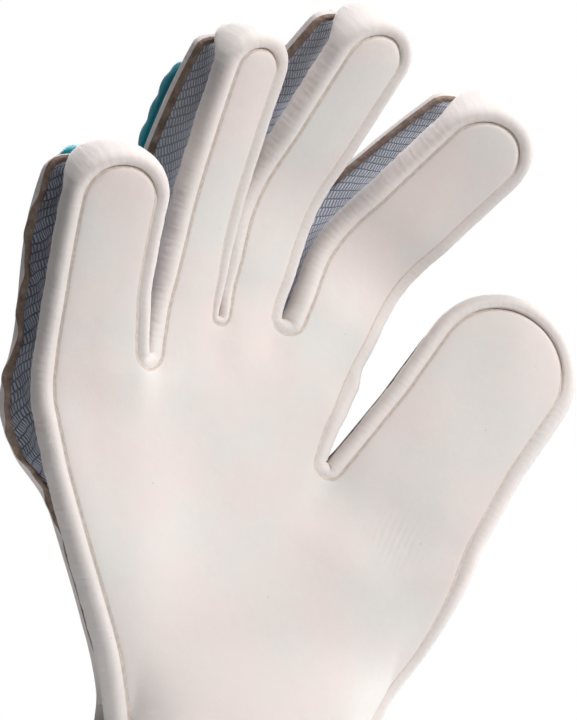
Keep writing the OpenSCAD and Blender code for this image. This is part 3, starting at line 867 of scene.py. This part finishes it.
# the wall knit again in darker greys: painted shade for the little finger's side wall
KNIT_PAINTED_SHADE = knit("wall_knit_grey", srgb(186, 190, 204), srgb(102, 106, 124), "strip", 1.05, 2.4, 1.05)
LINER = knit("lining_knit", srgb(222, 222, 226), srgb(176, 176, 182), "chart", 1.2, 1.8, 0.3)
CUFF_KNIT = knit("cuff_knit", srgb(62, 64, 70), srgb(24, 25, 29), "strip", 1.2, 2.0, 0.0)
BACKING = foam("backing_foam", srgb(214, 204, 196), srgb(176, 160, 150))
RIM = foam("raw_foam_edge", srgb(196, 176, 162), srgb(132, 110, 97))
TEAL = rubber("teal_rubber", srgb(0, 160, 176), srgb(0, 128, 146))
look = Look("hook_and_loop", 0.9, Specular_IOR_Level=0.2)
HOOKS = look.grain(look.cells(look.place(), 1100.0).outputs["Distance"], 0.1, 0.7,
                   srgb(72, 74, 80), srgb(28, 29, 33), 0.9, 0.9)
look = Look("brown_thread", 0.75, Specular_IOR_Level=0.25, Sheen_Weight=0.3)
BROWN_THREAD = look.grain(look.wave(look.place(), 700.0, 2.0, 0.5), 0.2, 0.8,
                          srgb(70, 54, 46), srgb(120, 96, 82), 0.08, 0.6)


# ---- stitches ----
def stitch_run(skin, row, pitch, length, radius, keep):
    """Short rounded stitches along a row of a skin, as (zone, points, faces)."""
    closed, run = closed_run(skin.at[row:row + N])
    up = skin.normal[row:row + N]
    made, sides = [], 6
    # place along the stitch, share of its radius and lift of each ring of points
    rings = ((-1.0, 0.2, -0.9), (-0.7, 0.85, 0.1), (0.0, 1.0, 0.45), (0.7, 0.85, 0.1), (1.0, 0.2, -0.9))
    for n in range(int(run[-1] / pitch)):
        at = (n + 0.5) * pitch
        i = int(np.searchsorted(run, at)) - 1
        if not keep[i % N]:
            continue
        t = (at - run[i]) / max(run[i + 1] - run[i], 1e-6)
        centre = closed[i] * (1 - t) + closed[i + 1] * t
        along = closed[i + 1] - closed[i]
        along /= max(norm(along), 1e-6)
        top = up[i % N]
        side = np.cross(along, top)
        side /= max(norm(side), 1e-6)
        points = []
        for a, r, lift in rings:
            for k in range(sides):
                q = 2 * math.pi * k / sides
                points.append(centre + along * a * length / 2 + side * math.cos(q) * r * radius
                              + top * (math.sin(q) * r + lift + 0.3) * radius)
        faces = [(a + k, a + (k + 1) % sides, a + sides + (k + 1) % sides, a + sides + k)
                 for a in range(0, (len(rings) - 1) * sides, sides) for k in range(sides)]
        faces += [tuple(range(sides))[::-1], tuple(range((len(rings) - 1) * sides, len(rings) * sides))]
        made.append((COLUMN[i % N], np.array(points), faces))
    return made


def activate(obj):
    bpy.ops.object.select_all(action="DESELECT")
    obj.select_set(True)
    bpy.context.view_layer.objects.active = obj


def add_stitches(obj, zone, made, material):
    """Joins a zone's stitches to its piece."""
    mine = [(p, f) for z, p, f in made if z == zone]
    if not mine:
        return
    points, faces = [], []
    for p, f in mine:
        faces += [tuple(v + len(points) for v in face) for face in f]
        points += list(p)
    extra = build(obj.name + "_stitches", points, faces, None, [material])
    activate(obj)
    extra.select_set(True)
    bpy.ops.object.join()


# the span round a piece's hinge line: this far each side of it, from this far past its own edge, at least
# this long
BLEND_HALF, PAST_GATE, LEAST_BLEND = 5.5, 2.5, 8.5


def attach(obj, zone):
    """Rides the hand; a digit's piece gets the span round its hinge line worked out and its transform baked.
    """
    _, digit, j = ZONES[zone]
    if digit == "hand":
        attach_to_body(obj, "hand")
        return
    d = next(d for d in DIGITS if d["name"] == digit)
    hinge, gate = d["hinge"][j], max(d["gates"][j])
    start = max(hinge - BLEND_HALF, gate + PAST_GATE)
    ends = np.array([start, max(hinge + BLEND_HALF, start + LEAST_BLEND)])
    a, b = digit_place(d, np.zeros(2), ends, digit_depth(d, ends) / 2) * MM
    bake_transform(obj)


FRONT, FRONT_OUT, FRONT_IN = front_skin()
BACK = back_skin()
WALL = wall_skin(FRONT_OUT, FRONT_IN)
SEWN = ~HEEL & (OUT[:, 1] > 62) & ((LEFT < 0.5) | (OUT[:, 1] > 125))
BACK_THREAD = stitch_run(BACK, 3 * N, 3.3, 2.2, 0.28, SEWN)
SKINS = [(FRONT, [PALM_LATEX, SEAM, EDGE_LATEX, BACKING, LINER], "latex"),
         (BACK, [BACK_LATEX, SEAM, EDGE_LATEX, RIM, LINER], "latex"),
         (WALL, [KNIT, KNIT_PAINTED_SHADE], "knit")]
HAND = [("palm_face", ["palm_latex", "palm_backing"]), ("backhand", ["backhand_panel", "backhand_lining"]),
        ("side_walls", ["little_side_gusset", "thumb_side_gusset", "finger_webs", "thumb_web"])]
ENDINGS = [("_face", "_front"), ("_backing", "_back"), ("_wall", "_gusset")]
for zone, (name, digit, j) in enumerate(ZONES):
    pieces = HAND if zone == 0 else [(name + a, [name + b]) for a, b in ENDINGS]
    for (skin, looks, slot), (title, nodes) in zip(SKINS, pieces):
        piece = skin.piece(title, zone, looks)
        if skin is BACK:
            add_stitches(piece, zone, BACK_THREAD, BROWN_THREAD)
        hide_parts(*nodes)
        attach(piece, zone)


# ---- pads on the back ----
def slab_faces(nu, nv):
    """Faces of a sheet of nu by nv points, of the same sheet underneath, and of the rim between them."""
    faces, m = [], nu * nv
    for j in range(nv - 1):
        for a in range(j * nu, j * nu + nu - 1):
            faces.append((a, a + nu, a + nu + 1, a + 1))
            faces.append((m + a, m + a + 1, m + a + nu + 1, m + a + nu))
    rim = list(range(nu)) + [j * nu + nu - 1 for j in range(1, nv)] + [m - 1 - i for i in range(1, nu)] + \
        [j * nu for j in range(nv - 2, 0, -1)]
    return faces + [(a, b, b + m, a + m) for a, b in zip(rim, rim[1:] + rim[:1])]


SPINE_HEIGHT, RIDGE, RIDGES = 6.0, 0.9, 4


def back_spine(d):
    """A moulded pad on a digit's back, with ridges across it, closed underneath."""
    h1, h2 = d["hinge"][1:]
    width, at, length = max(2 * d["tip"] - 1.4, 14.0), h1 + 4.5, h2 - h1 + 3.5
    nu, nv = 22, 46
    chart, crown = [], []
    for v in np.linspace(0, 1, nv):
        for u in np.linspace(-1, 1, nu):
            shrink = math.sqrt(max(0.0, 1 - abs(2 * v - 1) ** 6))
            w, s = u * width / 2 * (0.35 + 0.65 * shrink), at + v * length
            edge = (1 - abs(u) ** 5) * shrink
            wave = 0.5 + 0.5 * math.cos(2 * math.pi * RIDGES * (v - 0.5))
            groove = RIDGE * (1 - wave ** 0.6) * min(1.0, 2.2 * edge)
            chart.append(from_digit(d, w, s))
            crown.append(SPINE_HEIGHT * edge ** 0.45 * (1 - 0.25 * abs(u) ** 2) - groove)
    chart = np.array(chart)
    own = np.full(len(chart), DIGITS.index(d))
    base = full_depth(chart, own)
    points = np.vstack([place(chart, base + np.array(crown), own), place(chart, base - 1.2, own)])
    return build(d["name"] + "_back_spine", points, slab_faces(nu, nv), None, [TEAL],
                 np.vstack([chart, chart]))


for digit in DIGITS[:4]:
    spine = back_spine(digit)
    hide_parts(digit["name"] + "_spine")
    attach(spine, ZONE_OF[digit["name"] + "_tip"])


MOST_SWELL = 1.8       # the cloth may push the band's surface out this far


def mesh_points(obj):
    return np.array([tuple(v.co) for v in obj.data.vertices]) / MM


def apply_modifier(obj, name, kind, **settings):
    made = obj.modifiers.new(name, kind)
    for key, value in settings.items():
        setattr(made, key, value)
    bpy.ops.object.modifier_apply(modifier=name)


def knuckle_band():
    """The padded band over the knuckles, blown up by a short cloth simulation and then sewn down."""
    left, right, low, high = -47.0, 25.0, 128.0, 149.0
    nu, nv = 72, 22
    chart, lift = [], []
    for v in np.linspace(0, 1, nv):
        for u in np.linspace(0, 1, nu):
            edge = min(1.0, 6.0 * min(v, 1 - v) + 0.02) * min(1.0, 18.0 * min(u, 1 - u) + 0.02)
            x = left + (right - left) * u
            z = low + (high - low) * v + 4.0 * math.sin(math.pi * u) - 6.0 * u * (1 - v) * 0.4
            chart.append((x, z))
            lift.append(0.6 + 3.4 * edge ** 0.5)
    chart, lift = np.array(chart), np.array(lift)
    own = np.full(len(chart), -1)
    base = full_depth(chart, own)
    points = np.vstack([place(chart, base + lift, own), place(chart, base - 1.4, own)])
    pad = build("knuckle_band", points, slab_faces(nu, nv), None, [TEAL])
    activate(pad)
    apply_modifier(pad, "voxels", "REMESH", mode="VOXEL", voxel_size=0.0013)
    start = mesh_points(pad)
    middle = place(chart, base, own)
    nearest_base = [int(np.argmin(((middle - p) ** 2).sum(1))) for p in start]
    out = place(chart, base + 1.0, own) - middle
    height = np.array([np.dot(p - middle[i], out[i]) for p, i in zip(start, nearest_base)])
    pins = pad.vertex_groups.new(name="sewn")
    pins.add([i for i, h in enumerate(height) if h < 0.8], 1.0, "REPLACE")
    cloth = pad.modifiers.new("cloth", "CLOTH")
    cloth.settings.vertex_group_mass = "sewn"
    cloth.settings.use_pressure = True
    cloth.settings.uniform_pressure_force = 4.0
    cloth.settings.effector_weights.gravity = 0.0
    cloth.settings.quality = 6
    cloth.settings.mass = 0.1
    for tick in range(1, 21):
        bpy.context.scene.frame_set(tick)
    bpy.ops.object.modifier_apply(modifier="cloth")
    bpy.context.scene.frame_set(1)
    move = np.nan_to_num(mesh_points(pad) - start)
    far = norm(move, axis=1)[:, None]
    start = start + move * np.minimum(1.0, MOST_SWELL / np.maximum(far, 1e-6))
    # channels sewn through between the knuckles
    sew = np.zeros(len(start))
    for off in channel_offsets(chart[nearest_base]):
        sew = np.maximum(sew, np.exp(-(off / 1.5) ** 2))
    press = sew * np.clip(height - 0.9, 0, 2.6)
    start = start - out[nearest_base] * press[:, None]
    pad.data.vertices.foreach_set("co", (start * MM).ravel())
    apply_modifier(pad, "even", "SMOOTH", factor=0.5, iterations=3)
    apply_modifier(pad, "round", "SUBSURF", levels=1, render_levels=1)
    pad.data.polygons.foreach_set("use_smooth", [True] * len(pad.data.polygons))
    return pad


knuckles = knuckle_band()
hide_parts("knuckle_pad")
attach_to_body(knuckles, "hand")


# ---- cuff and strap, round the wrist's oval ----
CUFF_R = 23.0
LAP = 2 * (2 * WRIST_FLAT + math.pi * CUFF_R)


def oval_at(u, r):
    """Point at run u round the cuff from the middle of its back, at radius r."""
    u = (u + LAP / 2) % LAP - LAP / 2
    side, u = np.sign(u + 1e-9), np.abs(u)
    arc = np.clip((u - WRIST_FLAT) / CUFF_R, 0, math.pi)
    rest = np.maximum(u - WRIST_FLAT - math.pi * CUFF_R, 0)
    x = np.minimum(u, WRIST_FLAT) + r * np.sin(arc) - rest
    return side * x, r * np.cos(arc)


def cuff_shell(name, n, outer, inner, material):
    """A closed ring: rows of (z, radius) outside, then inside, each a function of the run."""
    u = np.linspace(-LAP / 2, LAP / 2, n, endpoint=False)
    points, strip, rows = [], [], outer + inner
    for k, (z, r) in enumerate(rows):
        radius = r(u) if callable(r) else np.full(n, float(r))
        x, y = oval_at(u, radius)
        points.append(np.stack([x, y, np.full(n, float(z))], 1))
        strip.append(np.stack([u, np.full(n, float(z) * (1 if k < len(outer) else -1))], 1))
    faces = []
    for a in range(len(rows)):
        b = (a + 1) % len(rows)
        faces += [(a * n + i, b * n + i, b * n + (i + 1) % n, a * n + (i + 1) % n) for i in range(n)]
    return build(name, np.vstack(points), faces, None, [material], strip=np.vstack(strip))


RIBS, RIB_DEPTH = 84, 0.75


def rib(u):
    return CUFF_R - 0.1 - RIB_DEPTH * (1 - np.abs(np.cos(math.pi * u / (LAP / RIBS))) ** 0.8) \
        + 0.15 * np.sin(u * 0.21)


def levels(*pairs):
    """Rows of (z, radius) from heights and distances outside the cuff's own radius."""
    return [(z, CUFF_R + off) for z, off in pairs]


outer = levels((4.0, -1.2), (5.2, -0.6)) + [(z, rib) for z in np.linspace(7, 52.5, 14)] + \
    levels((54.0, -0.9), (54.6, -0.1), (57.0, 0.1), (59.0, -0.2), (59.9, -1.0))
inner = levels((59.9, -2.2), (58.6, -2.9), (40.0, -2.95), (20.0, -2.95), (4.0, -2.9))
cuff = cuff_shell("cuff_rib_knit", 672, outer, inner, CUFF_KNIT)
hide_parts("cuff_band")
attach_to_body(cuff, "hand")


def bulge_at(r, push):
    return lambda u: r + push * (1 + 0.12 * np.sin(u * 1.7) + 0.08 * np.sin(u * 0.63))


outer = [(z, bulge_at(CUFF_R - off, push)) for z, off, push in (
    (0.35, 0.9, 0.3), (0.9, 0.3, 0.5), (2.0, 0, 0.6), (3.4, 0, 0.6), (4.5, 0.3, 0.5), (5.1, 0.9, 0.3))]
inner = levels((5.1, -2.9), (4.4, -3.3), (2.6, -3.5), (1.0, -3.3), (0.35, -2.6), (0.05, -1.7))
binding = cuff_shell("cuff_edge_binding", 460, outer, inner, TEAL)
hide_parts("cuff_binding")
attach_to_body(binding, "hand")


def run_to(x, r):
    """Run along the cuff's back at which radius r reaches x."""
    over = max(abs(x) - WRIST_FLAT, 0.0)
    return math.copysign(min(abs(x), WRIST_FLAT) + CUFF_R * math.asin(over / r), x)


def wrapped(name, x0, x1, z0, z1, low, high, material, corner=3.0, relief=None):
    """A flat band on the cuff's back between two radii, with round corners and a raised relief."""
    u0, u1 = run_to(x0, CUFF_R + high), run_to(x1, CUFF_R + high)
    nu, nv = int((u1 - u0) / 0.7), int((z1 - z0) / 0.7)
    points, strip = [[], []], []
    for j in range(nv + 1):
        z = z0 + (z1 - z0) * (0.5 - 0.5 * math.cos(math.pi * j / nv) if j in (0, nv) else j / nv)
        near = min(z - z0, z1 - z)
        pull = corner - math.sqrt(max(corner ** 2 - max(corner - near, 0) ** 2, 0))
        for i in range(nu + 1):
            u = u0 + pull + (u1 - u0 - 2 * pull) * i / nu
            e = min(near, (u1 - u0 - 2 * pull) * min(i, nu - i) / nu)
            top = high - 0.5 * math.exp(-(e / 0.5) ** 2) * 1.2
            if relief:
                top += relief(u, z, e)
            for side, r in ((0, CUFF_R + top), (1, CUFF_R + low)):
                x, y = oval_at(np.array([u]), np.array([r]))
                points[side].append((x[0], y[0], z))
            strip.append((u, z))
    return build(name, np.array(points[0] + points[1]), slab_faces(nu + 1, nv + 1), None, [material],
                 strip=np.array(strip + strip))


STRAP_LOW, STRAP_HIGH = 14.0, 48.0
STRAP_MID = (STRAP_LOW + STRAP_HIGH) / 2


def strap_relief(u, z, e):
    """A flat hem, a pressed line inside it and shallow channels along the strap."""
    hem = -0.7 * math.exp(-((e - 3.4) / 0.45) ** 2)
    wave = 0.5 + 0.5 * math.cos(2 * math.pi * (z - STRAP_MID) / 5.2)
    return hem + 0.45 * float(smooth((e - 4.0) / 1.5)) * wave * float(smooth((u + 20) / 3.0))


def grip_relief(u, z, e):
    return 0.55 * math.cos(2 * math.pi * (u + 33) / 2.3) * min(1.0, e / 1.5)


loop = wrapped("cuff_loop_tape", -33, 9, 16, 46, 0.25, 1.6, HOOKS, 2.0)
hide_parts("cuff_loop_patch")
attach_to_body(loop, "hand")
hook = wrapped("strap_hook_tape", -29, -5, 18, 44, 2.0, 3.3, HOOKS, 2.0)
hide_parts("strap_hook_patch")
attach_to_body(hook, "strap")
strap = wrapped("wrist_strap_face", -33, 33, STRAP_LOW, STRAP_HIGH, 3.4, 5.9, BACK_LATEX, 5.0, strap_relief)
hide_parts("wrist_strap")
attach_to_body(strap, "strap")
tab = wrapped("strap_grip_tab", -33.6, -24, 19, 43, 5.2, 7.2, TEAL, 2.5, grip_relief)
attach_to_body(tab, "strap")
inlay = wrapped("strap_inlay", -6, 24, 24, 38, 5.2, 7.0, TEAL, 4.0,
                lambda u, z, e: 0.45 * math.cos(2 * math.pi * (z - STRAP_MID) / 3.5) * min(1.0, e / 1.5))
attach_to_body(inlay, "strap")


# ---- camera, light and floor ----
AIM, SHIFT, AWAY = Vector((-0.002, 0.0, 0.160)), 0.020, 0.750
azimuth = math.radians(-35)
back = Vector((math.sin(azimuth), -math.cos(azimuth), 0.0))
right = Vector((math.cos(azimuth), math.sin(azimuth), 0.0))
camera = bpy.data.objects.new("camera", bpy.data.cameras.new("camera"))
camera.data.lens, camera.data.sensor_width = 139.5, 36.0
camera.location = AIM + right * SHIFT + back * AWAY
camera.rotation_mode = "QUATERNION"
camera.rotation_quaternion = (-back).to_track_quat("-Z", "Y")
bpy.context.scene.collection.objects.link(camera)
bpy.context.scene.camera = camera
bpy.context.scene.view_settings.view_transform = "Standard"


def area_light(name, at, aim, size, power, colour=(1, 1, 1)):
    light = bpy.data.lights.new(name, "AREA")
    light.shape, light.size, light.energy, light.color = "DISK", size, power, colour
    obj = bpy.data.objects.new(name, light)
    obj.location = at
    obj.rotation_mode = "QUATERNION"
    obj.rotation_quaternion = (Vector(aim) - Vector(at)).to_track_quat("-Z", "Y")
    bpy.context.scene.collection.objects.link(obj)


area_light("key", (0.22, -0.88, 0.62), (0, 0, 0.17), 0.4, 6.3, (1.0, 0.985, 0.97))
area_light("side", (0.95, -0.15, 0.35), (0, 0, 0.14), 0.5, 3.0)
area_light("top", (-0.10, -0.10, 1.15), (0, 0, 0.16), 0.4, 4.6, (0.97, 0.98, 1.0))
area_light("rear", (0.35, 0.9, 0.6), (0, 0, 0.14), 0.6, 4.0)

# white to the camera; the light itself is weak and comes mostly from the right and above
world = bpy.data.worlds.new("studio")
bpy.context.scene.world = world
sky = Graph(world)
seen = sky.tree.nodes["Background"]
seen.inputs["Color"].default_value = (1, 1, 1, 1)
seen.inputs["Strength"].default_value = 1.0
ray = sky.node("ShaderNodeTexCoord").outputs["Generated"]
towards = {0: ray, 1: (0.85, 0.0, 0.5)}
side = sky.node("ShaderNodeVectorMath", towards, operation="DOT_PRODUCT").outputs["Value"]
power = sky.scale(side, 0.04, 0.54, -0.6, 0.9)
lit = sky.node("ShaderNodeBackground", {"Color": (0.96, 0.98, 1.0, 1), "Strength": power}).outputs[0]
pick = sky.node("ShaderNodeLightPath").outputs["Is Camera Ray"]
mixed = sky.node("ShaderNodeMixShader", {0: pick, 1: lit, 2: seen.outputs[0]}).outputs[0]
sky.tree.links.new(mixed, sky.tree.nodes["World Output"].inputs["Surface"])

# a round pale floor that fades out at its rim
FLOOR_R, FLOOR_Z, FLOOR_SIDES = 0.42, -0.0006, 96
ring = [(FLOOR_R * math.cos(a), FLOOR_R * math.sin(a), FLOOR_Z)
        for a in np.linspace(0, 2 * math.pi, FLOOR_SIDES, endpoint=False)]
floor_mesh = bpy.data.meshes.new("floor")
floor_mesh.from_pydata(ring, [], [tuple(range(FLOOR_SIDES))])
floor = bpy.data.objects.new("floor", floor_mesh)
bpy.context.scene.collection.objects.link(floor)
paint = Look("pale_floor", 0.7)
at = paint.place()
paint.colour(paint.ramp(paint.noise(at, 6.0), 0.3, 0.7, srgb(238, 238, 238), srgb(242, 242, 242)))
paint.tree.links.new(paint.spot(at, (0, 0, 0), 0.2, 0.4, 1.0), paint.shader.inputs["Alpha"])
floor_mesh.materials.append(paint.material)
